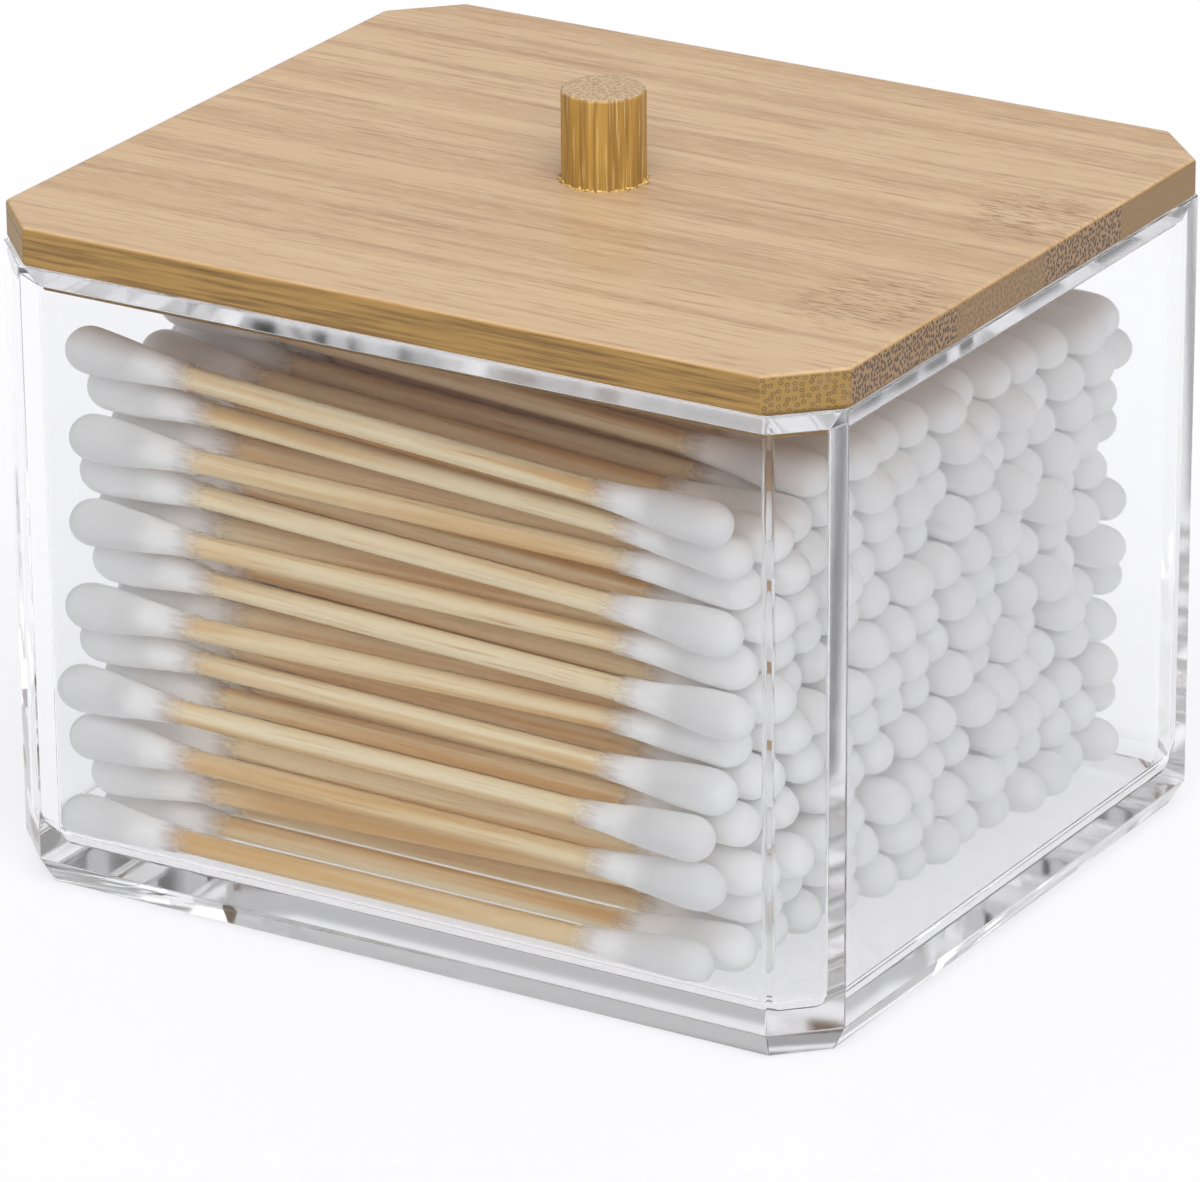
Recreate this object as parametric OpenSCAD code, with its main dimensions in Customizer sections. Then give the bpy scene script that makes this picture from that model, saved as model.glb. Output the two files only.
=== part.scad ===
// Clear moulded box with a loose bamboo lid and turned knob, filled with double-ended cotton swabs.
// Millimetres. The origin is the middle of the foot, +X runs along the long front wall and +Z is up.

/* [Container] */
// Width of the container at its rim, left to right
box_w = 94.4; // [90:0.2:110]
// Depth of the container at its rim, front to back
box_d = 80.6; // [74:0.2:96]
// Height of the container from its foot to its rim
box_h = 65.2; // [65:0.2:90]
// Thickness of the clear walls at the rim
wall_t = 3; // [2.6:0.1:3.4]
// Thickness of the clear floor
floor_t = 3.8; // [3.2:0.1:4.2]
// How much of each outer corner is cut off, measured along a wall
corner_cut = 5.6; // [4:0.1:7]
// How far each outer face leans in from rim to foot, so that the box leaves its mould
outer_draft = 0.2; // [0:0.05:0.5]
// How far each inner face leans in from rim to floor, for the same reason
inner_draft = 0.3; // [0:0.05:0.5]
// Height of the bevel round the foot
foot_bevel_h = 2.8; // [1:0.1:3]
// How far the foot bevel runs in under the walls
foot_bevel_in = 1.6; // [0.5:0.1:2.4]
// Width and height of the 45 degree bevel inside the rim
rim_bevel = 2.4; // [1:0.1:2.4]
// Radius between the floor and the walls inside
floor_fillet = 2.4; // [1:0.1:3]

/* [Lid] */
// Thickness of the part of the lid that shows
lid_t = 4; // [3:0.1:6]
// How much of each lid corner is cut off, measured along an edge
lid_cut = 6.2; // [4:0.1:8]
// How far the lid stands past the rim on every side
lid_overhang = 0; // [0:0.1:2]
// Depth of the raised step under the lid that drops inside the walls
step_h = 3; // [2:0.1:3]
// Clearance between the lid's step and the walls, all round
step_clearance = 0.4; // [0.2:0.05:0.8]
// Width of the sanded edges of the lid
lid_ease = 0.3; // [0.1:0.05:0.6]

/* [Knob] */
// Diameter of the dowel knob
knob_d = 8.5; // [6:0.1:12]
// Height of the knob above the lid
knob_h = 9.3; // [6:0.1:16]
// Depth of the blind hole that the knob is glued into
socket_h = 2.5; // [1.5:0.1:4]
// Thickness of the glue film round the knob
glue_gap = 0.05; // [0.03:0.01:0.1]
// Width of the knob's sanded edge
knob_ease = 0.25; // [0.1:0.05:0.5]

/* [Swab] */
// Length of a swab over both cotton buds
swab_len = 74.5; // [73:0.5:77]
// Diameter of the bamboo stick
stick_d = 2.3; // [2:0.1:2.6]
// Largest diameter of a cotton bud at the left end of a swab
bud_d = 4.75; // [4.4:0.05:4.9]
// Largest diameter at the right end, where the pile has settled and presses the cotton
pressed_bud_d = 4.6; // [4.4:0.05:4.9]
// Length of a cotton bud along the stick
bud_len = 14.5; // [11:0.5:16]
// Length of the rounded end of a bud
nose_len = 2.6; // [2:0.1:4]
// Radius of the flat spot at the very end of a bud
nose_flat = 0.5; // [0.3:0.1:0.8]
// Thickness of the cotton where it thins out onto the stick
bud_tail = 0.2; // [0.1:0.05:0.3]
// Thickness of cotton past the end of the stick
bud_pad = 2; // [1.5:0.1:3]
// Clearance between the cotton and the stick that it is wound on
wrap_gap = 0.05; // [0.03:0.01:0.08]

/* [Pile] */
// Swabs lying side by side in one layer
columns = 14; // [10:1:14]
// Clearance between two buds in one layer
column_gap = 0.35; // [0.25:0.05:0.35]
// Spare height of a layer above the grooves of the layer below, at the left ends
left_gap = 0.3; // [0.3:0.01:0.45]
// Spare height of a layer at the right ends, where the pile has settled more
right_gap = 0.06; // [0.05:0.01:0.2]
// Clearance between the pile and the floor and front wall
rest_gap = 0.15; // [0.12:0.01:0.3]
// How far the middle of the pile lies to the left of the middle of the box
pile_shift = 2; // [0:0.1:2.5]
// Most that a swab has slid along its own length
slide_max = 1.6; // [0:0.1:2]
// How much further right the back column lies than the front one
back_drift = 2.8; // [0:0.1:3]
// Most that a bud sits away from its place in the pile, up, down or sideways
scatter = 0.07; // [0:0.01:0.08]

/* [Hidden] */
// Layers of swabs in the pile
layers = 12;
$fn = 48;
// Material that a cutting shape runs past the face it cuts
over = 1;

// Half sizes of the outside and the inside at the rim; corners are measured square to the cut face
outer_x = box_w / 2;
outer_y = box_d / 2;
outer_diag = diagonal(outer_x, outer_y, corner_cut);
inner_x = outer_x - wall_t;
inner_y = outer_y - wall_t;
inner_diag = outer_diag - wall_t;
lid_x = outer_x + lid_overhang;
lid_y = outer_y + lid_overhang;
step_x = inner_x - step_clearance;
step_y = inner_y - step_clearance;
step_diag = inner_diag - step_clearance;

// The pile: where its first bud lies, and how far apart columns and layers are
widest_d = max(bud_d, pressed_bud_d);
column_pitch = widest_d + column_gap;
first_y = -(inner_y - inner_draft) + widest_d / 2 + rest_gap;
// One layer lies straight on the swabs below it and not in their grooves
straight_layer = 3;
// Columns that each layer steps back between its left and its right end, bottom layer first
layer_turn = [0, 1, 0, 0, 0, 1, 0, 1, 0, 1, 0, 0];
// How far the front swab of each layer has slid to the right, bottom layer first
front_slide = [-2.2, -0.1, -0.8, -2, -1, -0.9, 0.9, -0.1, -0.4, 0.2, 0.8, 0.1];
// The top layer is part full: these columns are already used up
top_layer = 11;
used_columns = [1, 2];

// Distance from the middle to a cut corner of a box with these half sizes
function diagonal(x, y, cut) = (x + y - cut) / sqrt(2);

// A number from -1 to 1 that looks random but is the same every time
function noise(i, k, n) = let (v = sin(i * 73.3 + k * 157.7 + n * 311.9 + 17) * 4375.85) 2 * (v - floor(v)) - 1;

// A layer's node name, counted from 01 at the bottom
function layer_name(kind, k) = str(kind, "_layer_", k < 9 ? "0" : "", k + 1);

// How far a bud of diameter d lies above the two buds that it rests between
function groove_rise(d) = sqrt(pow(d + 2 * scatter, 2) - pow(column_pitch / 2, 2));
// Height of the middle of layer k at the end where its buds have diameter d
function layer_z(k, d, gap) = let (pitch = groove_rise(d) + gap)
    floor_t + d / 2 + rest_gap + k * pitch + (k >= straight_layer ? d + 3 * scatter - pitch : 0);

// 1 for a layer that lies half a column further back
function layer_back(k) = (k + (k >= straight_layer ? 1 : 0)) % 2;

// Middle of the bud at one end of column i in layer k
function bud_y(i, k, n) = first_y + column_pitch * (i + layer_back(k) / 2) + scatter * noise(i, k, n);
function left_z(i, k) = layer_z(k, bud_d, left_gap) + scatter * noise(i, k, 3);
function right_z(i, k) = layer_z(k, pressed_bud_d, right_gap) + scatter * noise(i, k, 4);

// Columns of layer k that hold a swab
function layer_columns(k) = [
    for (i = [0 : columns - 1 - layer_turn[k]])
        if (k != top_layer || len(search(i, used_columns)) == 0) i
];

// How far a swab has slid along its own length
function slide(i, k) = i == 0 ? front_slide[k]
    : slide_max * noise(i, k, 5) + back_drift * i / (columns - 1);

// Outline of a bud, as distance from the axis and distance from its end
function bud_outline(r, tail) = concat(
    [[0, 0], [nose_flat, 0]],
    [for (a = [22.5 : 22.5 : 90]) [r * sin(a), nose_len * (1 - cos(a))]],
    [for (u = [0.25 : 0.25 : 1])
        [tail + (r - tail) * (1 + cos(180 * u)) / 2, nose_len + u * (bud_len - nose_len)]]
);

// What the four upright outlines, drawn across a box and across its corners, have in common
module four_ways(x, y, diag) {
    intersection() {
        across(max(x, y) * 4, 90) children(0);
        across(max(x, y) * 4, 0) children(1);
        across(max(x, y) * 4, 45) children(2);
        across(max(x, y) * 4, -45) children(2);
    }
}

// Sweeps an upright outline along a level line, turned about Z
module across(length, turn) {
    rotate([90, 0, turn - 90])
        linear_extrude(length, center = true)
            children();
}

module outer_outline(half) {
    foot = half - outer_draft;
    polygon([
        [foot_bevel_in - foot, 0], [foot - foot_bevel_in, 0],
        [foot, foot_bevel_h], [half, box_h], [-half, box_h], [-foot, foot_bevel_h]
    ]);
}

module cavity_outline(half) {
    low = half - inner_draft;
    fillet_z = floor_t + floor_fillet;
    lip = half + rim_bevel;
    polygon([
        [-low, fillet_z], [low, fillet_z], [half, box_h - rim_bevel], [lip, box_h], [lip, box_h + over],
        [-lip, box_h + over], [-lip, box_h], [-half, box_h - rim_bevel]
    ]);
    translate([floor_fillet - low, floor_t])
        square([2 * (low - floor_fillet), floor_fillet]);
    for (side = [-1, 1])
        translate([side * (low - floor_fillet), fillet_z])
            circle(floor_fillet);
}

// A board's outline with both edges sanded
module board_outline(half, low, high, ease) {
    polygon([
        [ease - half, low], [half - ease, low], [half, low + ease], [half, high - ease],
        [half - ease, high], [ease - half, high], [-half, high - ease], [-half, low + ease]
    ]);
}

// A level board with cut corners
module board(x, y, diag, low, high) {
    four_ways(x, y, diag) {
        board_outline(x, low, high, lid_ease);
        board_outline(y, low, high, lid_ease);
        board_outline(diag, low, high, lid_ease);
    }
}

module container() {
    color([0.86, 0.88, 0.9, 0.35])
        difference() {
            four_ways(outer_x, outer_y, outer_diag) {
                outer_outline(outer_x);
                outer_outline(outer_y);
                outer_outline(outer_diag);
            }
            four_ways(inner_x, inner_y, inner_diag) {
                cavity_outline(inner_x);
                cavity_outline(inner_y);
                cavity_outline(inner_diag);
            }
        }
}

module lid_panel() {
    color([0.83, 0.67, 0.47])
        difference() {
            union() {
                board(lid_x, lid_y, diagonal(lid_x, lid_y, lid_cut), box_h, box_h + lid_t);
                board(step_x, step_y, step_diag, box_h - step_h, box_h + lid_ease + over);
            }
            translate([0, 0, box_h + lid_t - socket_h])
                cylinder(h = socket_h + over, d = knob_d + 2 * glue_gap);
        }
}

module lid_knob() {
    foot_z = box_h + lid_t - socket_h + glue_gap;
    top_z = box_h + lid_t + knob_h;
    color([0.76, 0.57, 0.3]) {
        translate([0, 0, foot_z])
            cylinder(h = top_z - knob_ease - foot_z, d = knob_d);
        translate([0, 0, top_z - knob_ease])
            cylinder(h = knob_ease, d1 = knob_d, d2 = knob_d - 2 * knob_ease);
    }
}

// Places its children on the axis of a swab: Z runs along it from the middle of the swab
module along_swab(i, k) {
    reach = swab_len - (bud_d + pressed_bud_d) / 2;
    dy = bud_y(i + layer_turn[k], k, 2) - bud_y(i, k, 1);
    dz = right_z(i, k) - left_z(i, k);
    dx = sqrt(reach * reach - dy * dy - dz * dz);
    translate([slide(i, k) - pile_shift, bud_y(i, k, 1) + dy / 2, left_z(i, k) + dz / 2])
        rotate([0, acos(dz / reach), atan2(dy, dx)])
            children();
}

module stick() {
    length = swab_len - 2 * bud_pad;
    cylinder(h = length, d = stick_d, center = true);
}

// One wound cotton bud of diameter d, its end at the origin and its stick leaving along +Z
module bud(d) {
    bore = stick_d / 2 + wrap_gap;
    bore_end = bud_pad - wrap_gap;
    tail = stick_d / 2 + bud_tail;
    rotate_extrude()
        polygon(concat(bud_outline(d / 2, tail), [[bore, bud_len], [bore, bore_end], [0, bore_end]]));
}

module sticks_layer(k) {
    color([0.87, 0.73, 0.5])
        for (i = layer_columns(k))
            along_swab(i, k)
                stick();
}

module buds_layer(k) {
    color([0.93, 0.93, 0.92])
        for (i = layer_columns(k))
            along_swab(i, k)
                for (end = [0, 180])
                    rotate([end, 0, 0])
                        translate([0, 0, -swab_len / 2])
                            bud(end == 0 ? bud_d : pressed_bud_d);
}

container();
lid_panel();
lid_knob();
for (k = [0 : layers - 1]) {
    sticks_layer(k);
    buds_layer(k);
}
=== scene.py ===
"""Looks of a clear moulded box of cotton swabs under a bamboo lid with a dowel knob."""

import logging
import math
from dataclasses import dataclass, field
from enum import Enum
from typing import Sequence

import bpy
import numpy as np
from mathutils import Matrix, Vector


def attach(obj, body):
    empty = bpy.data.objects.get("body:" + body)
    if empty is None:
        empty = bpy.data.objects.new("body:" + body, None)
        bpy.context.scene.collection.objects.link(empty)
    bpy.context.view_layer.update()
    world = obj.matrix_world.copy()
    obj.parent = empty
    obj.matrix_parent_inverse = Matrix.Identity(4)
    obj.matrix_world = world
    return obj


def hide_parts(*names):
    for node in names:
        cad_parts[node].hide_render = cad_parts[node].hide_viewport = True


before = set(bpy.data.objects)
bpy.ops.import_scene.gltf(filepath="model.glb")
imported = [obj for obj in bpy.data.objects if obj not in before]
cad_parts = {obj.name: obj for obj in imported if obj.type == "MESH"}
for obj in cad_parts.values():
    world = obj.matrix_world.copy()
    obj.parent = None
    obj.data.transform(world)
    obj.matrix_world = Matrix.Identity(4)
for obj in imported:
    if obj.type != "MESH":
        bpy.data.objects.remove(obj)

LOG = logging.getLogger("swab_holder")
MM = 0.001
PHOTO_SHAPE = (1200, 1182)
Colour = tuple[float, float, float]


class Body(Enum):
    """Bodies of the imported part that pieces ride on."""

    BOX = "box"
    LID = "lid"


class Slot(Enum):
    """Material slots of the record."""

    CLEAR = "clear_plastic"
    LID = "lid_bamboo"
    KNOB = "knob_bamboo"
    STICK = "stick_bamboo"
    COTTON = "cotton"


# Shader expressions


class Link:
    """A socket of a node tree, usable in sums and products with numbers and other links."""

    def __init__(self, nodes: "Nodes", socket: bpy.types.NodeSocket) -> None:
        """Wraps one output socket.

        Args:
            nodes: The node tree that the socket belongs to.
            socket: The output socket.
        """
        self.nodes = nodes
        self.socket = socket

    @property
    def is_number(self) -> bool:
        """Whether the socket carries one number, and not a colour or vector."""
        return self.socket.type == "VALUE"

    def _maths(self, operation: str, *values: "Link | float | Colour") -> "Link":
        """Adds a Math node, or a Vector Math node where a value is a colour or vector.

        Args:
            operation: The node's operation.
            values: The node's inputs in order.

        Returns:
            The node's output.
        """
        plain = all(v.is_number if isinstance(v, Link) else isinstance(v, (int, float)) for v in values)
        kind = "ShaderNodeMath" if plain else "ShaderNodeVectorMath"
        sockets = {
            i: v if plain or isinstance(v, (Link, tuple)) else (v, v, v)
            for i, v in enumerate(values)
        }
        return self.nodes.node(kind, {"operation": operation}, sockets)[0]

    def __add__(self, other: "Link | float | Colour") -> "Link":
        """Sum."""
        return self._maths("ADD", self, other)

    def __radd__(self, other: float | Colour) -> "Link":
        """Sum, reflected."""
        return self._maths("ADD", other, self)

    def __sub__(self, other: "Link | float | Colour") -> "Link":
        """Difference."""
        return self._maths("SUBTRACT", self, other)

    def __rsub__(self, other: float | Colour) -> "Link":
        """Difference, reflected."""
        return self._maths("SUBTRACT", other, self)

    def __mul__(self, other: "Link | float | Colour") -> "Link":
        """Product."""
        return self._maths("MULTIPLY", self, other)

    def __truediv__(self, other: "Link | float") -> "Link":
        """Quotient."""
        return self._maths("DIVIDE", self, other)

    def __pow__(self, other: float) -> "Link":
        """Power."""
        return self._maths("POWER", self, other)

    def __gt__(self, other: "Link | float") -> "Link":
        """1 where this is larger, and 0 elsewhere."""
        return self._maths("GREATER_THAN", self, other)

    def step(self, low: float, high: float, start: float = 0.0, end: float = 1.0) -> "Link":
        """Eases from one number to another as this number passes a range.

        Args:
            low: Where the change starts.
            high: Where it ends.
            start: The result below the range.
            end: The result above it.

        Returns:
            The eased number.
        """
        sockets = {"Value": self, "From Min": low, "From Max": high, "To Min": start, "To Max": end}
        return self.nodes.node("ShaderNodeMapRange", {"interpolation_type": "SMOOTHSTEP"}, sockets)[0]


class Made:
    """A node that was just added, indexed by the name or number of its outputs."""

    def __init__(self, nodes: "Nodes", node: bpy.types.Node) -> None:
        """Wraps one node.

        Args:
            nodes: The node tree that the node belongs to.
            node: The node.
        """
        self.nodes = nodes
        self.node = node

    def __getitem__(self, key: str | int) -> Link:
        """One enabled output by its name, or by its number among the enabled ones."""
        live = [s for s in self.node.outputs if s.enabled]
        socket = live[key] if isinstance(key, int) else next(s for s in live if s.name == key)
        return Link(self.nodes, socket)


class Nodes:
    """A node tree and the methods that add to it."""

    def __init__(self, owner: bpy.types.Material | bpy.types.World) -> None:
        """Empties the owner's node tree.

        Args:
            owner: The material or world.
        """
        owner.use_nodes = True
        self.owner = owner
        self.tree = owner.node_tree
        self.tree.nodes.clear()

    def node(self, kind: str, settings: dict | None = None, sockets: dict | None = None) -> Made:
        """Adds one node.

        Args:
            kind: The node's type.
            settings: Its settings, set first; "stops" are the places and colours of a ramp.
            sockets: Values or links of its inputs, by name or by number among the enabled inputs.

        Returns:
            The node.
        """
        node = self.tree.nodes.new(kind)
        for key, value in (settings or {}).items():
            if key == "stops":
                self._set_stops(node.color_ramp, value)
            else:
                setattr(node, key, value)
        live = [s for s in node.inputs if s.enabled]
        for key, value in (sockets or {}).items():
            socket = live[key] if isinstance(key, int) else next(s for s in live if s.name == key)
            if isinstance(value, Link):
                self.tree.links.new(value.socket, socket)
            elif socket.type == "RGBA" and len(value) == 3:
                socket.default_value = (*value, 1.0)
            else:
                socket.default_value = value
        return Made(self, node)

    @staticmethod
    def _set_stops(ramp: bpy.types.ColorRamp, stops: Sequence[tuple[float, Colour]]) -> None:
        """Gives a ramp its stops.

        Args:
            ramp: The ramp.
            stops: Places from 0 to 1 with their colours.
        """
        while len(ramp.elements) < len(stops):
            ramp.elements.new(0.5)
        for element, (place, colour) in zip(ramp.elements, stops):
            element.position = place
            element.color = (*colour, 1.0)

    def mix(self, share: Link | float, first: Link | Colour, second: Link | Colour) -> Link:
        """Mixes two colours.

        Args:
            share: 0 for the first colour, 1 for the second.
            first: The first colour.
            second: The second colour.

        Returns:
            The mixed colour.
        """
        sockets = {"Factor": share, "A": first, "B": second}
        return self.node("ShaderNodeMix", {"data_type": "RGBA"}, sockets)["Result"]

    def noise(self, place: Link, scale: float, detail: float = 2.0, rough: float = 0.5) -> Link:
        """Smooth noise around 0.5.

        Args:
            place: Where it is read.
            scale: Waves per unit of place.
            detail: Finer octaves.
            rough: How strong the octaves are.

        Returns:
            The noise.
        """
        sockets = {"Vector": place, "Scale": scale, "Detail": detail, "Roughness": rough}
        return self.node("ShaderNodeTexNoise", {}, sockets)[0]

    def split(self, vector: Link) -> Made:
        """X, Y and Z of a vector."""
        return self.node("ShaderNodeSeparateXYZ", {}, {0: vector})

    def join(self, x: Link | float, y: Link | float, z: Link | float) -> Link:
        """A vector from three numbers."""
        return self.node("ShaderNodeCombineXYZ", {}, {"X": x, "Y": y, "Z": z})[0]


class Finish(Nodes):
    """One procedural material."""

    def __init__(self, name: str) -> None:
        """Starts an empty material.

        Args:
            name: The material's name.
        """
        super().__init__(bpy.data.materials.new(name))

    def spots(self, place: Link, scale: float, jitter: float = 0.8) -> Made:
        """Cells with a distance from each cell's middle.

        Args:
            place: Where they are read; only X and Y count.
            scale: Cells per unit of place.
            jitter: How uneven the cells are.

        Returns:
            The node.
        """
        sockets = {"Vector": place, "Scale": scale, "Randomness": jitter}
        return self.node("ShaderNodeTexVoronoi", {"feature": "F1", "voronoi_dimensions": "2D"}, sockets)

    def place(self) -> Link:
        """Place on the piece at rest, in millimetres."""
        return self.node("ShaderNodeTexCoord")["Object"] * (1 / MM)

    def facing(self) -> Made:
        """Size of each part of the surface's own direction, as X, Y and Z."""
        turned = self.node("ShaderNodeTexCoord")["Normal"]
        size = self.node("ShaderNodeVectorMath", {"operation": "ABSOLUTE"}, {0: turned})[0]
        return self.split(size)

    def stored(self, name: str) -> Link:
        """A vector kept on the mesh under a name."""
        return self.node("ShaderNodeAttribute", {"attribute_name": name})["Vector"]

    def bump(self, height: Link, depth: float, strength: float = 1.0) -> Link:
        """Turns a height into a tilted surface.

        Args:
            height: The height, 0 to 1.
            depth: Metres for a height of 1.
            strength: Share of the tilt that shows.

        Returns:
            The surface's direction.
        """
        sockets = {"Height": height, "Distance": depth, "Strength": strength}
        return self.node("ShaderNodeBump", {}, sockets)[0]

    def shader(self, **sockets: "Link | float | Colour") -> Link:
        """Adds a Principled shader.

        Args:
            sockets: Its inputs by name, with _ for a space.

        Returns:
            The shader.
        """
        named = {key.replace("_", " "): value for key, value in sockets.items()}
        return self.node("ShaderNodeBsdfPrincipled", {}, named)[0]

    def end(self, surface: Link) -> bpy.types.Material:
        """Ends the tree.

        Args:
            surface: The shader of the surface.

        Returns:
            The material.
        """
        self.node("ShaderNodeOutputMaterial", {}, {"Surface": surface})
        return self.owner

    def finish(self, **sockets: "Link | float | Colour") -> bpy.types.Material:
        """Ends the tree with one Principled shader, whose inputs are named as in shader()."""
        return self.end(self.shader(**sockets))


# Meshes


@dataclass(frozen=True)
class Octagon:
    """Half sizes of a rectangle with four cut corners, in millimetres."""

    x: float
    y: float
    diag: float

    @classmethod
    def cut(cls, x: float, y: float, cut: float) -> "Octagon":
        """An octagon whose corners are cut off by a length along its sides."""
        return cls(x, y, (x + y - cut) / math.sqrt(2))

    def inset(self, by: float) -> "Octagon":
        """The octagon with all eight sides moved in."""
        return Octagon(self.x - by, self.y - by, self.diag - by)

    def corners(self) -> np.ndarray:
        """The eight corners, anticlockwise from the front right."""
        reach = self.diag * math.sqrt(2)
        x, y, cx, cy = self.x, self.y, reach - self.y, reach - self.x
        return np.array([(cx, -y), (x, -cy), (x, cy), (cx, y), (-cx, y), (-x, cy), (-x, -cy), (-cx, -y)])

    def outline(self, radius: float, steps: int) -> np.ndarray:
        """The outline with rounded corners.

        Args:
            radius: Radius of the corners.
            steps: Lengths that each corner is drawn with.

        Returns:
            The points, anticlockwise.
        """
        corners = self.corners()
        points = []
        for i, corner in enumerate(corners):
            before = corners[i - 1] - corner
            after = corners[(i + 1) % 8] - corner
            before, after = before / np.linalg.norm(before), after / np.linalg.norm(after)
            middle = (before + after) / np.linalg.norm(before + after)
            half = math.acos(float(np.clip(before @ middle, -1, 1)))
            centre = corner + middle * radius / math.sin(half)
            start = corner + before * radius / math.tan(half) - centre
            turn = math.pi - 2 * half
            for k in range(steps + 1):
                a = turn * k / steps
                c, s = math.cos(a), math.sin(a)
                points.append(centre + (c * start[0] - s * start[1], s * start[0] + c * start[1]))
        return np.array(points)


class Surface:
    """Points and faces of one mesh while it is put together, in millimetres."""

    def __init__(self) -> None:
        """Starts with nothing."""
        self.points: list[np.ndarray] = []
        self.faces: list[Sequence[int]] = []
        self.stored: list[np.ndarray] = []
        self.count = 0

    def add(self, points: np.ndarray, stored: np.ndarray | None = None) -> int:
        """Adds points.

        Args:
            points: The points, one a row.
            stored: A vector to keep with each point.

        Returns:
            The number of the first one.
        """
        first = self.count
        self.points.append(points)
        if stored is not None:
            self.stored.append(stored)
        self.count += len(points)
        return first

    def band(self, low: int, high: int, size: int) -> None:
        """Joins two closed rings of points with four-sided faces."""
        for i in range(size):
            j = (i + 1) % size
            self.faces.append((low + i, low + j, high + j, high + i))

    def cap(self, first: int, size: int, flip: bool = False) -> None:
        """Closes a ring of points with one face."""
        ring = range(first, first + size)
        self.faces.append(tuple(reversed(ring)) if flip else tuple(ring))

    def rings(self, rows: Sequence[np.ndarray], stored: Sequence[np.ndarray] | None = None) -> None:
        """Adds a closed skin over rings of equal size, with a cap on each end.

        Args:
            rows: The rings in order, each anticlockwise seen from the last one.
            stored: A vector to keep with each point of each ring.
        """
        kept = stored or [None] * len(rows)
        firsts = [self.add(row, keep) for row, keep in zip(rows, kept)]
        size = len(rows[0])
        for low, high in zip(firsts, firsts[1:]):
            self.band(low, high, size)
        self.cap(firsts[0], size, flip=True)
        self.cap(firsts[-1], size)

    def piece(
        self, name: str, material: bpy.types.Material, crisp: float | None = None, flat: bool = True
    ) -> bpy.types.Object:
        """Makes the object.

        Args:
            name: The object's name.
            material: Its finish.
            crisp: Angle in degrees past which an edge stays sharp.
            flat: Whether the large faces between such edges are kept flat.

        Returns:
            The object, linked to the scene.
        """
        mesh = bpy.data.meshes.new(name)
        mesh.from_pydata((np.concatenate(self.points) * MM).tolist(), [], self.faces)
        if self.stored:
            kept = mesh.attributes.new("kept_place", "FLOAT_VECTOR", "POINT")
            kept.data.foreach_set("vector", np.concatenate(self.stored).astype(np.float32).ravel())
        mesh.materials.append(material)
        mesh.validate()
        mesh.shade_smooth()
        piece = bpy.data.objects.new(name, mesh)
        bpy.context.scene.collection.objects.link(piece)
        if crisp is not None:
            mesh.set_sharp_from_angle(angle=math.radians(crisp))
        if crisp is not None and flat:
            weighted = piece.modifiers.new("flat_faces", "WEIGHTED_NORMAL")
            weighted.weight = 100
            weighted.keep_sharp = True
        return piece


def rounded(corners: Sequence[tuple[float, float, float]], steps: int = 4) -> np.ndarray:
    """Rounds the corners of an open outline.

    Args:
        corners: Points of the outline, each with the radius of its corner.
        steps: Lengths that each corner is drawn with.

    Returns:
        The points of the rounded outline.
    """
    points = [np.array(corners[0][:2])]
    for last, (x, y, radius), following in zip(corners, corners[1:], corners[2:]):
        corner = np.array((x, y))
        before, after = np.array(last[:2]) - corner, np.array(following[:2]) - corner
        before, after = before / np.linalg.norm(before), after / np.linalg.norm(after)
        if radius <= 0:
            points.append(corner)
            continue
        middle = (before + after) / np.linalg.norm(before + after)
        half = math.acos(float(np.clip(before @ middle, -1, 1)))
        centre = corner + middle * radius / math.sin(half)
        start = corner + before * radius / math.tan(half) - centre
        end = corner + after * radius / math.tan(half) - centre
        for k in range(steps + 1):
            share = k / steps
            blend = start * (1 - share) + end * share
            points.append(centre + blend / np.linalg.norm(blend) * radius)
    points.append(np.array(corners[-1][:2]))
    return np.array(points)


def dress(piece: bpy.types.Object, body: Body, slot: Slot, *nodes: str) -> bpy.types.Object:
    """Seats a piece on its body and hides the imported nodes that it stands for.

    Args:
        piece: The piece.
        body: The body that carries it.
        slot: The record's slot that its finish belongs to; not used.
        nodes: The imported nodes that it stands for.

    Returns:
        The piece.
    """
    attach(piece, body.value)
    if nodes:
        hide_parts(*nodes)
    LOG.info("%s: %d faces, rides on %s", piece.name, len(piece.data.polygons), body.value)
    return piece


# Container


@dataclass(frozen=True)
class ClearAcrylic:
    """Clear moulded acrylic, a little wavy where thick parts shrank."""

    tint: Colour = (0.985, 0.988, 0.99)
    index: float = 1.49
    wave: float = 0.0012
    haze: float = 0.035
    glare: Colour = (0.3, 0.3, 0.32)

    def material(self) -> bpy.types.Material:
        """Builds the finish."""
        f = Finish("clear_acrylic")
        normal = f.bump(f.noise(f.place(), 0.12, 1.0), self.wave * MM)
        return f.finish(
            Base_Color=self.tint, Roughness=self.haze, IOR=self.index, Transmission_Weight=1.0,
            Normal=normal, Specular_Tint=self.glare,
        )


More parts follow.
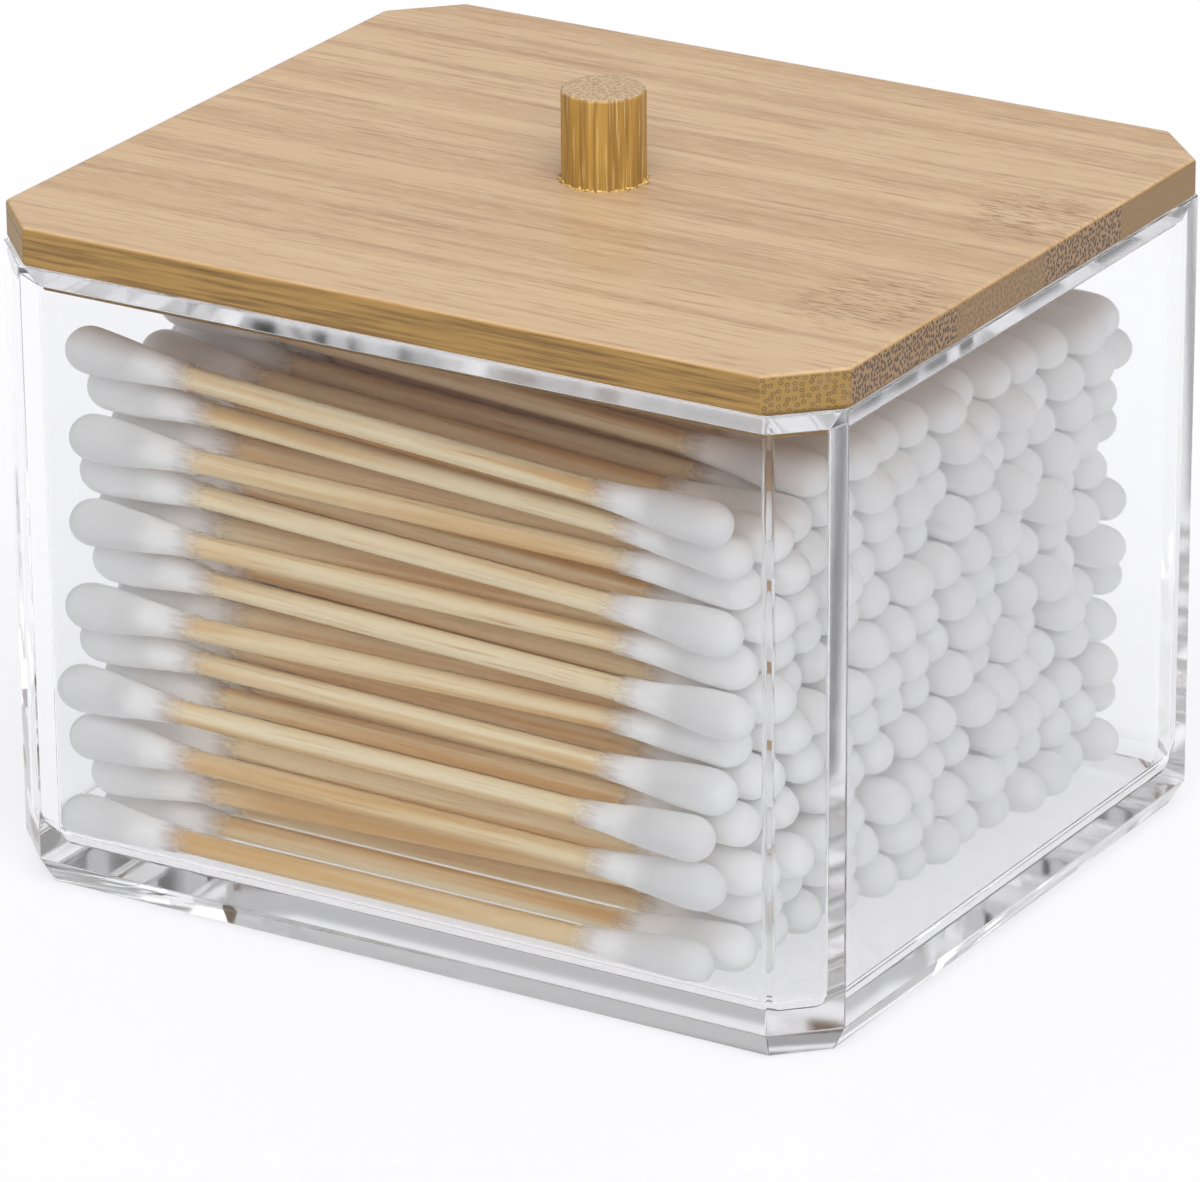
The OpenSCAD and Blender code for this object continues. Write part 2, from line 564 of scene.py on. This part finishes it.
@dataclass
class ClearBox:
    """The moulded container, with every edge softened as a mould leaves it. Millimetres."""

    rim: Octagon = Octagon.cut(47.2, 40.3, 5.6)
    height: float = 65.2
    wall: float = 3.0
    floor: float = 3.8
    outer_draft: float = 0.2
    inner_draft: float = 0.3
    foot_height: float = 2.8
    foot_inset: float = 1.6
    rim_bevel: float = 2.4
    floor_radius: float = 2.4
    corner_steps: int = 4

    def outline(self) -> np.ndarray:
        """Distance in from the rim's outside, and height, from under the foot over the rim to the floor."""
        foot = self.outer_draft + self.foot_inset
        low = self.wall + self.inner_draft
        return rounded([
            (foot + 0.9, 0, 0),
            (foot, 0, 0.25),
            (self.outer_draft, self.foot_height, 0.5),
            (0, self.height, 0.15),
            (self.wall - self.rim_bevel, self.height, 0.15),
            (self.wall, self.height - self.rim_bevel, 0.25),
            (low, self.floor, self.floor_radius),
            (low + self.floor_radius + 0.5, self.floor, 0),
        ])

    def build(self) -> bpy.types.Object:
        """Builds the container and seats it.

        Returns:
            The piece.
        """
        skin = Surface()
        rows = []
        outline = self.outline()
        top = int(np.argmax(outline[:, 1]))
        for i, (inset, z) in enumerate(outline):
            radius = 0.35 if i <= top + 1 else 0.5
            ring = self.rim.inset(inset).outline(radius, self.corner_steps)
            rows.append(np.column_stack((ring, np.full(len(ring), z))))
        skin.rings(rows)
        piece = skin.piece("clear_box", ClearAcrylic().material(), crisp=50)
        return dress(piece, Body.BOX, Slot.CLEAR, "container")


# Lid


@dataclass(frozen=True)
class LaminatedBamboo:
    """Lacquered board of bamboo strips lying side by side, grain along X. Places in millimetres."""

    pale: Colour = (0.605, 0.43, 0.255)
    warm: Colour = (0.495, 0.325, 0.182)
    streak: Colour = (0.33, 0.185, 0.10)
    dash: Colour = (0.24, 0.115, 0.055)
    shine: Colour = (0.62, 0.47, 0.30)
    eased: Colour = (0.44, 0.23, 0.045)
    edge: Colour = (0.345, 0.20, 0.052)
    edge_dark: Colour = (0.12, 0.06, 0.014)
    end: Colour = (0.30, 0.185, 0.09)
    end_smooth: Colour = (0.24, 0.145, 0.055)
    corner: Colour = (0.30, 0.18, 0.04)
    pore: Colour = (0.075, 0.04, 0.02)
    glue_lines: tuple[float, float, float] = (-14.2, 3.2, 18.4)
    warmth: tuple[float, float, float, float] = (0.0, 0.22, 0.0, 0.15)
    coarseness: tuple[float, float, float, float] = (1.0, 0.45, 1.0, 0.12)
    nodes: tuple[tuple[float, float, float, float], ...] = ((40.0, -18.0, 8.0, 9.0), (41.0, 11.0, 7.0, 8.5))

    def by_strip(self, y: Link, tones: Sequence[float]) -> Link:
        """A number that changes from strip to strip.

        Args:
            y: Place across the board.
            tones: The number on each strip, front to back.

        Returns:
            The number.
        """
        tone = tones[0]
        for line, before, after in zip(self.glue_lines, tones, tones[1:]):
            tone = tone + (y > line) * (after - before)
        return tone

    def top(self, f: Finish, x: Link, y: Link, z: Link) -> tuple[Link, Link]:
        """Colour and height of the planed faces.

        Args:
            f: The finish.
            x: Place along the grain.
            y: Place across the board.
            z: Height.

        Returns:
            The colour and the height.
        """
        broad = f.noise(f.join(x * 0.02, y, z), 0.17, 2.0)
        medium = f.noise(f.join(x * 0.028, y, z), 0.8, 3.0, 0.6)
        fine = f.noise(f.join(x * 0.045, y, z), 2.2, 2.0, 0.6)
        hair = f.noise(f.join(x * 0.09, y, z), 4.4, 1.0)
        dashes = f.noise(f.join(x * 0.4, y * 4.2, z), 1.0, 2.0).step(0.52, 0.62)
        near = None
        for at_x, at_y, wide, deep in self.nodes:
            away = ((x - at_x) / wide) ** 2.0 + ((y - at_y) / deep) ** 2.0
            here = away.step(0.2, 1.3, 1.0, 0.0)
            near = here if near is None else near + here
        tone = broad.step(0.36, 0.66) * 0.8 + self.by_strip(y, self.warmth)
        colour = f.mix(tone, self.pale, self.warm)
        colour = f.mix(medium.step(0.5, 0.7) * 0.5, colour, self.streak)
        colour = f.mix(fine.step(0.5, 0.72) * 0.55, colour, self.streak)
        colour = f.mix(hair.step(0.52, 0.7) * 0.5, colour, self.shine)
        colour = f.mix(dashes * near * 0.75, colour, self.dash)
        return colour, fine * 0.5 + hair * 0.3 - dashes * near * 0.4

    def material(self) -> bpy.types.Material:
        """Builds the finish."""
        f = Finish("lid_bamboo")
        xyz = f.split(f.place())
        x, y, z = xyz["X"], xyz["Y"], xyz["Z"]
        facing = f.facing()
        up = f.split(f.node("ShaderNodeTexCoord")["Normal"])["Z"]
        colour, height = self.top(f, x, y, z)
        lines = f.noise(f.join(x * 0.03, y, z), 2.6, 3.0, 0.65)
        blotch = f.noise(f.join(x * 0.1, y, z), 0.9, 2.0)
        side = f.mix(lines.step(0.36, 0.72) * 0.8 + blotch.step(0.5, 0.8) * 0.3, self.edge, self.edge_dark)
        coarse = self.by_strip(y, self.coarseness)
        cells = f.spots(f.join(y * 2.5, z * 1.9, 0.0), 1.0, 0.9)
        pore = cells["Distance"].step(0.24, 0.5, 1.0, 0.0) * coarse
        end = f.mix(coarse, self.end_smooth, self.end)
        end = f.mix(pore, end, self.pore)
        rows = f.spots(f.join((x + y) * 0.95, z * 1.5, 0.0), 1.0, 0.55)["Distance"]
        ring = rows.step(0.1, 0.22) * rows.step(0.26, 0.4, 1.0, 0.0)
        corner = f.mix(ring * 0.75, self.corner, self.pore)
        corner = f.mix(blotch.step(0.4, 0.7) * 0.4, corner, self.end)
        square = (facing["X"] * facing["Y"]).step(0.3, 0.45)
        colour = f.mix(up.step(0.25, 0.98, 1.0, 0.0), colour, self.eased)
        upright = facing["Z"].step(0.3, 0.75, 1.0, 0.0)
        faces = f.mix(facing["X"].step(0.6, 0.8), side, end)
        faces = f.mix(square, faces, corner)
        colour = f.mix(upright, colour, faces)
        height = height * (1 - upright) + (1 - pore * facing["X"]) * 0.9 * upright
        return f.finish(
            Base_Color=colour, Roughness=up.step(0.5, 0.9, 0.5, 0.34), IOR=1.5,
            Normal=f.bump(height, 0.035 * MM, 0.7),
        )


@dataclass
class BambooLid:
    """The board that closes the box, rebated all round underneath. Millimetres."""

    board: Octagon = Octagon.cut(47.2, 40.3, 6.2)
    step: Octagon = Octagon.cut(47.2, 40.3, 5.6).inset(3.4)
    bottom: float = 65.2
    thick: float = 4.0
    step_depth: float = 3.0
    ease: float = 0.45
    socket: float = 4.3
    socket_depth: float = 2.5

    def build(self) -> bpy.types.Object:
        """Builds the board and seats it.

        Returns:
            The piece.
        """
        low, mid, high = self.bottom - self.step_depth, self.bottom, self.bottom + self.thick
        step_in = self.board.x - self.step.x
        outline = rounded([
            (step_in + 0.9, low, 0), (step_in, low, 0.3), (step_in, mid, 0), (0, mid, self.ease),
            (0, high, self.ease), (1.2, high, 0),
        ], 5)
        rows = []
        for inset, z in outline:
            base = self.step.inset(inset - step_in) if z < mid - 1e-6 else self.board.inset(inset)
            if abs(z - mid) < 1e-6 and inset > step_in - 0.01:
                base = self.step
            ring = base.outline(0.5, 3)
            rows.append(np.column_stack((ring, np.full(len(ring), z))))
        angles = np.arctan2(rows[-1][:, 1], rows[-1][:, 0])
        hole = np.column_stack((np.cos(angles), np.sin(angles))) * self.socket
        for z in (high, high - self.socket_depth):
            rows.append(np.column_stack((hole, np.full(len(hole), z))))
        skin = Surface()
        skin.rings(rows)
        piece = skin.piece("bamboo_lid", LaminatedBamboo().material(), crisp=50)
        return dress(piece, Body.LID, Slot.LID, "lid_panel")


# Knob


@dataclass(frozen=True)
class DowelBamboo:
    """Turned bamboo dowel, grain along Z, with open pores on its end."""

    pale: Colour = (0.47, 0.27, 0.055)
    dark: Colour = (0.29, 0.155, 0.033)
    shine: Colour = (0.68, 0.48, 0.20)
    end: Colour = (0.52, 0.375, 0.225)
    pore: Colour = (0.25, 0.145, 0.065)
    set_glue: Colour = (0.66, 0.44, 0.13)
    stuck_fibre: Colour = (0.26, 0.13, 0.03)

    def material(self) -> bpy.types.Material:
        """Builds the finish."""
        f = Finish("knob_bamboo")
        xyz = f.split(f.place())
        upright = f.join(xyz["X"], xyz["Y"], xyz["Z"] * 0.04)
        fibres = f.noise(upright, 1.3, 3.0, 0.6)
        lines = f.noise(upright, 3.6, 1.0)
        colour = f.mix(fibres.step(0.36, 0.62), self.pale, self.dark)
        colour = f.mix(lines.step(0.52, 0.72) * 0.55, colour, self.shine)
        cells = f.spots(f.join(xyz["X"], xyz["Y"], 0.0), 1.7)
        pore = cells["Distance"].step(0.15, 0.42, 1.0, 0.0)
        mottle = f.noise(f.join(xyz["X"], xyz["Y"], 0.0), 0.7, 3.0)
        end = f.mix(pore * 0.6 + mottle.step(0.5, 0.7) * 0.25, self.end, self.pore)
        colour = f.mix(f.facing()["Z"].step(0.5, 0.9), colour, end)
        height = fibres * 0.6 + lines * 0.4 - pore * 0.3
        return f.finish(Base_Color=colour, Roughness=0.38, IOR=1.5, Normal=f.bump(height, 0.07 * MM, 0.8))

    def glue(self) -> bpy.types.Material:
        """Builds the finish of the set glue that was squeezed out, with fibres stuck in it."""
        f = Finish("knob_glue")
        flecks = f.noise(f.place(), 3.0, 2.0)
        colour = f.mix(flecks.step(0.45, 0.6), self.set_glue, self.stuck_fibre)
        return f.finish(Base_Color=colour, Roughness=0.18, IOR=1.5, Normal=f.bump(flecks, 0.05 * MM))


@dataclass
class Knob:
    """The dowel glued into the lid, with the glue that was squeezed out. Millimetres."""

    radius: float = 4.25
    foot: float = 66.75
    top: float = 78.5
    lid_top: float = 69.2
    sides: int = 144

    def build(self) -> bpy.types.Object:
        """Builds the dowel and its glue and seats them.

        Returns:
            The dowel.
        """
        rng = np.random.default_rng(5)
        angle = np.linspace(0, 2 * math.pi, self.sides, endpoint=False)
        spin = np.column_stack((np.cos(angle), np.sin(angle)))
        flutes = np.zeros(self.sides)
        for count in (13, 19, 24, 31, 37):
            flutes = flutes + np.cos(count * angle + rng.uniform(0, 7)) * rng.uniform(0.3, 1)
        flutes = np.clip(flutes / 2.2, -1, 1)
        outline = rounded([
            (self.radius - 0.3, self.foot, 0), (self.radius, self.foot, 0.1),
            (self.radius, self.top, 0.35), (self.radius - 0.9, self.top, 0),
        ])
        skin = Surface()
        skin.rings([
            np.column_stack((spin * (r - 0.1 + 0.06 * flutes)[:, None], np.full(self.sides, z)))
            for r, z in outline
        ])
        piece = skin.piece("dowel_knob", DowelBamboo().material(), crisp=50)
        self.squeezed_glue(spin, rng)
        return dress(piece, Body.LID, Slot.KNOB, "lid_knob")

    def squeezed_glue(self, spin: np.ndarray, rng: np.random.Generator) -> None:
        """Builds the ragged ring of glue round the foot of the dowel.

        Args:
            spin: Directions round the dowel.
            rng: Source of its unevenness.
        """
        bulge = np.convolve(np.tile(rng.random(self.sides) ** 3, 3), np.ones(3) / 3, "same")[: self.sides]
        wide, high = 0.08 + 0.75 * bulge, 0.06 + 0.55 * np.roll(bulge, 1)
        skin = Surface()
        rows = []
        for out, up in ((-0.2, -0.03), (1.0, -0.03), (0.85, 0.45), (0.45, 0.85), (-0.2, 1.0)):
            reach = self.radius - 0.1 + (out * wide if out > 0 else np.full(self.sides, out))
            height = self.lid_top + (up * high if up > 0 else np.full(self.sides, up))
            rows.append(np.column_stack((spin * reach[:, None], height)))
        firsts = [skin.add(row) for row in rows]
        for low, above in zip(firsts, firsts[1:] + firsts[:1]):
            skin.band(low, above, self.sides)
        dress(skin.piece("knob_glue", DowelBamboo().glue()), Body.LID, Slot.KNOB)


# Swabs


@dataclass(frozen=True)
class StickBamboo:
    """Pale split bamboo, grain along each stick."""

    pale: Colour = (0.98, 0.85, 0.57)
    warm: Colour = (0.74, 0.44, 0.15)
    brown: Colour = (0.38, 0.18, 0.06)

    def material(self) -> bpy.types.Material:
        """Builds the finish."""
        f = Finish("stick_bamboo")
        xyz = f.split(f.stored("kept_place"))
        grain = f.join(xyz["X"] * 0.03, xyz["Y"], xyz["Z"])
        own = f.noise(f.join(0.0, xyz["Y"], xyz["Z"]), 0.03, 0.0)
        broad = f.noise(grain, 0.55, 2.0)
        fine = f.noise(grain, 3.0, 3.0, 0.6)
        colour = f.mix(broad.step(0.45, 0.7) * 0.85, self.pale, self.warm)
        colour = f.mix(own.step(0.4, 0.7) * 0.4, colour, self.warm)
        colour = f.mix(fine.step(0.5, 0.75) * 0.55, colour, self.warm)
        colour = f.mix(fine.step(0.66, 0.8) * 0.6, colour, self.brown)
        return f.finish(Base_Color=colour, Roughness=0.5, Normal=f.bump(fine, 0.03 * MM))


@dataclass(frozen=True)
class WoundCotton:
    """Soft white cotton wound on a stick, thinning to a veil at its tail. Millimetres from the tip."""

    fibre: Colour = (0.99, 0.988, 0.984)
    hollow: Colour = (0.975, 0.972, 0.966)
    thin: tuple[float, float] = (6.5, 10.0)
    veil: tuple[float, float] = (11.2, 16.0)

    def material(self) -> bpy.types.Material:
        """Builds the finish."""
        f = Finish("wound_cotton")
        place = f.stored("kept_place")
        xyz = f.split(place)
        fibres = f.noise(f.join(xyz["X"] * 0.35, xyz["Y"], xyz["Z"]), 3.0, 4.0, 0.65)
        tufts = f.noise(place, 0.9, 2.0)
        strands = f.noise(f.join(xyz["X"] * 0.12, xyz["Y"], xyz["Z"]), 2.4, 3.0, 0.7)
        reach = xyz["X"] + (strands - 0.5) * 3.0
        height = fibres * 0.5 + tufts * 0.8
        shared = {
            "Base_Color": f.mix(fibres.step(0.3, 0.7), self.fibre, self.hollow), "Roughness": 1.0,
            "Specular_IOR_Level": 0.1, "Normal": f.bump(height, 0.05 * MM, 0.5),
            "Sheen_Weight": 0.35, "Sheen_Roughness": 0.6,
        }
        thick = f.shader(
            Subsurface_Weight=1.0, Subsurface_Radius=(1.0, 1.0, 1.0), Subsurface_Scale=2.6 * MM, **shared
        )
        thin = f.shader(Alpha=reach.step(*self.veil, 1.0, 0.0), **shared)
        share = xyz["X"].step(*self.thin)
        return f.end(f.node("ShaderNodeMixShader", {}, {0: share, 1: thick, 2: thin})[0])


@dataclass
class SwabLayer:
    """One layer of swabs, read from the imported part. Millimetres."""

    number: int
    cotton: bpy.types.Material
    bamboo: bpy.types.Material
    bud_radii: tuple[float, float] = (2.375, 2.3)
    bud_length: float = 14.5
    veil_length: float = 16.6
    nose: float = 2.6
    blunt: float = 0.2
    tail: float = 0.2
    pad: float = 2.0
    stick_radius: float = 1.15
    gap: float = 0.05
    sides: int = 28
    stick_sides: int = 16
    stick_rings: int = 9
    axes: list[tuple[np.ndarray, np.ndarray]] = field(default_factory=list)

    def read_axes(self) -> None:
        """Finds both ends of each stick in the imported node."""
        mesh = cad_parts[f"sticks_layer_{self.number:02d}"].data
        points = np.empty(len(mesh.vertices) * 3, np.float32)
        mesh.vertices.foreach_get("co", points)
        points = points.reshape(-1, 3).astype(float) / MM
        edges = np.empty(len(mesh.edges) * 2, np.int32)
        mesh.edges.foreach_get("vertices", edges)
        edges = edges.reshape(-1, 2)
        keys, same = np.unique(np.round(points, 3), axis=0, return_inverse=True)
        same = same.ravel()
        label = np.arange(len(keys))
        ends = same[edges]
        while True:
            low = np.minimum(label[ends[:, 0]], label[ends[:, 1]])
            fresh = label.copy()
            np.minimum.at(fresh, ends[:, 0], low)
            np.minimum.at(fresh, ends[:, 1], low)
            fresh = fresh[fresh]
            if np.array_equal(fresh, label):
                break
            label = fresh
        self.axes = []
        for island in np.unique(label):
            cloud = keys[label == island]
            left = cloud[cloud[:, 0] < cloud[:, 0].mean()].mean(0)
            right = cloud[cloud[:, 0] >= cloud[:, 0].mean()].mean(0)
            run = (right - left) / np.linalg.norm(right - left)
            reach = (cloud - left) @ run
            self.axes.append((left + run * reach.min(), left + run * reach.max()))
        self.axes.sort(key=lambda pair: pair[0][1])

    def build(self) -> None:
        """Builds the layer's sticks and buds and seats them."""
        self.read_axes()
        sticks, buds = Surface(), Surface()
        for i, (left, right) in enumerate(self.axes):
            rng = np.random.default_rng(1000 * self.number + i)
            self.add_stick(sticks, left, right, rng)
            for start, end, radius in ((left, right, self.bud_radii[0]), (right, left, self.bud_radii[1])):
                self.add_bud(buds, start, end, radius, rng)
        tag = f"{self.number:02d}"
        split = sticks.piece(f"sticks_{tag}", self.bamboo, 60, flat=False)
        dress(split, Body.BOX, Slot.STICK, f"sticks_layer_{tag}")
        wound = buds.piece(f"buds_{tag}", self.cotton, 80, flat=False)
        dress(wound, Body.BOX, Slot.COTTON, f"buds_layer_{tag}")

    @staticmethod
    def across(run: np.ndarray) -> tuple[np.ndarray, np.ndarray]:
        """Two directions square to a swab and to each other."""
        side = np.cross(run, (0.0, 0.0, 1.0))
        side /= np.linalg.norm(side)
        return side, np.cross(side, run)

    def add_stick(
        self, skin: Surface, left: np.ndarray, right: np.ndarray, rng: np.random.Generator
    ) -> None:
        """Adds one stick.

        Args:
            skin: The mesh that it goes into.
            left: Its left end.
            right: Its right end.
            rng: Source of its unevenness.
        """
        length = np.linalg.norm(right - left)
        run = (right - left) / length
        side, up = self.across(run)
        sides = self.stick_sides
        angle = np.linspace(0, 2 * math.pi, sides, endpoint=False)
        shape = 1 - 0.02 * rng.random(sides)
        away = rng.uniform(0, 500, 3)
        rows, kept = [], []
        for s in np.linspace(0, length, self.stick_rings):
            r = (self.stick_radius - 0.01) * shape
            ring = left + run * s + np.outer(r * np.cos(angle), side) + np.outer(r * np.sin(angle), up)
            rows.append(ring)
            kept.append(np.column_stack((np.full(sides, s), r * np.cos(angle), r * np.sin(angle))) + away)
        skin.rings(rows, kept)

    def profile(self, reach: np.ndarray, radius: float) -> np.ndarray:
        """Radius of a bud at distances from its end.

        Args:
            reach: The distances.
            radius: The bud's largest radius.

        Returns:
            The radii.
        """
        tail = self.stick_radius + self.tail
        turn = np.arccos(np.clip(1 - reach / self.nose, -1, 1))
        nose = radius * np.sin(turn)
        share = np.clip((reach - self.nose) / (self.bud_length - self.nose), 0, 1)
        body = tail + (radius - tail) * (1 + np.cos(math.pi * share)) / 2
        thin = np.clip((reach - self.bud_length) / (self.veil_length - self.bud_length), 0, 1)
        body = body - thin * (self.tail - self.gap)
        return np.where(reach < self.nose, np.maximum(nose, self.blunt), body)

    def add_bud(
        self, skin: Surface, start: np.ndarray, end: np.ndarray, radius: float, rng: np.random.Generator
    ) -> None:
        """Adds one bud.

        Args:
            skin: The mesh that it goes into.
            start: The end of the stick inside the bud.
            end: The stick's other end.
            radius: The bud's largest radius.
            rng: Source of its unevenness.
        """
        run = (end - start) / np.linalg.norm(end - start)
        side, up = self.across(run)
        tip = start - run * self.pad
        angle = np.linspace(0, 2 * math.pi, self.sides, endpoint=False)
        turns = np.linspace(0.06, 1, 8)
        nose = self.nose * (1 - np.cos(turns * math.pi / 2))
        reach = np.concatenate((nose, np.linspace(self.nose, self.veil_length, 15)[1:]))
        phase = rng.uniform(0, 2 * math.pi, 8)
        away = rng.uniform(0, 500, 3) * (0, 1, 1)
        rows, kept = [], []
        for s, r in zip(reach, self.profile(reach, radius)):
            wave = (
                np.sin(angle + phase[0] + 0.4 * s) * 0.5
                + np.sin(2 * angle + phase[1] - 0.7 * s) * 0.35
                + np.sin(3 * angle + phase[2] + 0.9 * s) * 0.25
                + np.sin(0.8 * s + phase[3]) * 0.5
            )
            thick = np.clip((r - self.stick_radius) / (radius - self.stick_radius), 0, 1)
            ring = r - 0.04 * thick + wave * 0.05 * thick
            level, rise = ring * np.cos(angle), ring * np.sin(angle)
            rows.append(tip + run * s + np.outer(level, side) + np.outer(rise, up))
            kept.append(np.column_stack((np.full(self.sides, s), level, rise)) + away)
        bore = self.stick_radius + self.gap / 2
        level, rise = bore * np.cos(angle), bore * np.sin(angle)
        for s in (self.veil_length, self.pad - self.gap):
            rows.append(tip + run * s + np.outer(level, side) + np.outer(rise, up))
            kept.append(kept[-1])
        skin.rings(rows, kept)


@dataclass
class SwabPile:
    """All layers of swabs in the box."""

    layers: int = 12

    def build(self) -> None:
        """Builds each layer."""
        cotton, bamboo = WoundCotton().material(), StickBamboo().material()
        for number in range(1, self.layers + 1):
            SwabLayer(number, cotton, bamboo).build()


# Studio


@dataclass
class Studio:
    """Pale floor, soft white surroundings and the camera."""

    azimuth: float = 31.361
    elevation: float = 21.845
    roll: float = -0.457
    distance: float = 828.3
    target: tuple[float, float, float] = (9.99, -17.74, 34.0)
    focal_pixels: float = 8558.3
    path_bounces: int = 40
    gloss_bounces: int = 24
    diffuse_bounces: int = 10
    veil_bounces: int = 16
    floor_half: float = 4000.0
    floor_drop: float = 0.15
    floor_tone: Colour = (0.28, 0.28, 0.285)
    floor_glow: Colour = (0.97, 0.965, 1.0)
    floor_power: float = 0.665
    sky_tone: Colour = (0.985, 0.985, 1.0)
    sky_low: float = 0.3
    sky_high: float = 0.74
    lamps: tuple[tuple[float, float, float, float, float], ...] = ((38.0, 46.0, 24.0, 32.0, 3.85),)

    def camera(self) -> None:
        """Makes the camera where the photograph was taken from."""
        a, e, roll = (math.radians(v) for v in (self.azimuth, self.elevation, self.roll))
        back = Vector((math.sin(a) * math.cos(e), -math.cos(a) * math.cos(e), math.sin(e)))
        right = Vector((math.cos(a), math.sin(a), 0.0))
        up = back.cross(right)
        level, tilt = math.cos(roll), math.sin(roll)
        right, up = right * level + up * tilt, up * level - right * tilt
        data = bpy.data.cameras.new("camera")
        data.sensor_width = 36.0
        data.lens = self.focal_pixels * data.sensor_width / PHOTO_SHAPE[0]
        data.clip_start, data.clip_end = 0.05, 50.0
        camera = bpy.data.objects.new("camera", data)
        bpy.context.scene.collection.objects.link(camera)
        turn = Matrix((right, up, back)).transposed().to_4x4()
        spot = (Vector(self.target) + back * self.distance) * MM
        camera.matrix_world = Matrix.Translation(spot) @ turn
        bpy.context.scene.camera = camera

    def floor(self) -> None:
        """Makes the floor."""
        f = Finish("studio_floor")
        material = f.finish(
            Base_Color=self.floor_tone, Roughness=0.45, Specular_IOR_Level=0.3,
            Emission_Color=self.floor_glow, Emission_Strength=self.floor_power,
        )
        skin = Surface()
        reach, z = self.floor_half, -self.floor_drop
        signs = ((-1, -1), (1, -1), (1, 1), (-1, 1))
        skin.add(np.array([(reach * x, reach * y, z) for x, y in signs]))
        skin.faces.append((0, 1, 2, 3))
        skin.piece("studio_floor", material)

    def light(self) -> None:
        """Lights the scene with a wide soft lamp and a sky that is dimmer low down."""
        world = bpy.data.worlds.new("surroundings")
        bpy.context.scene.world = world
        sky = Nodes(world)
        way = sky.node("ShaderNodeTexCoord")["Generated"]
        height = sky.split(way)["Z"]
        glow = height.step(0.0, 0.9, self.sky_low, self.sky_high)
        for azimuth, elevation, inner, outer, strength in self.lamps:
            a, e = math.radians(azimuth), math.radians(elevation)
            aim = (math.sin(a) * math.cos(e), -math.cos(a) * math.cos(e), math.sin(e))
            near = sky.node("ShaderNodeVectorMath", {"operation": "DOT_PRODUCT"}, {0: way, 1: aim})["Value"]
            edges = math.cos(math.radians(outer)), math.cos(math.radians(inner))
            glow = glow + near.step(*edges, 0.0, strength)
        shade = sky.node("ShaderNodeBackground", {}, {"Color": self.sky_tone, "Strength": glow})[0]
        sky.node("ShaderNodeOutputWorld", {}, {"Surface": shade})
        scene = bpy.context.scene
        scene.view_settings.view_transform = "Standard"
        paths = scene.cycles
        paths.max_bounces = paths.transmission_bounces = self.path_bounces
        paths.glossy_bounces = self.gloss_bounces
        paths.diffuse_bounces = self.diffuse_bounces
        paths.transparent_max_bounces = self.veil_bounces

    def build(self) -> None:
        """Builds the whole studio."""
        self.camera()
        self.floor()
        self.light()


def corners(box: tuple[Vector, Vector]) -> list[list[float]]:
    """A box as plain lists."""
    return [list(map(float, corner)) for corner in box]


def main() -> None:
    """Builds the studio and every piece."""
    logging.basicConfig(level=logging.INFO, format="%(name)s: %(message)s")
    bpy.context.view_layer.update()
    Studio().build()
    ClearBox().build()
    BambooLid().build()
    Knob().build()
    SwabPile().build()


if __name__ == "__main__":
    main()
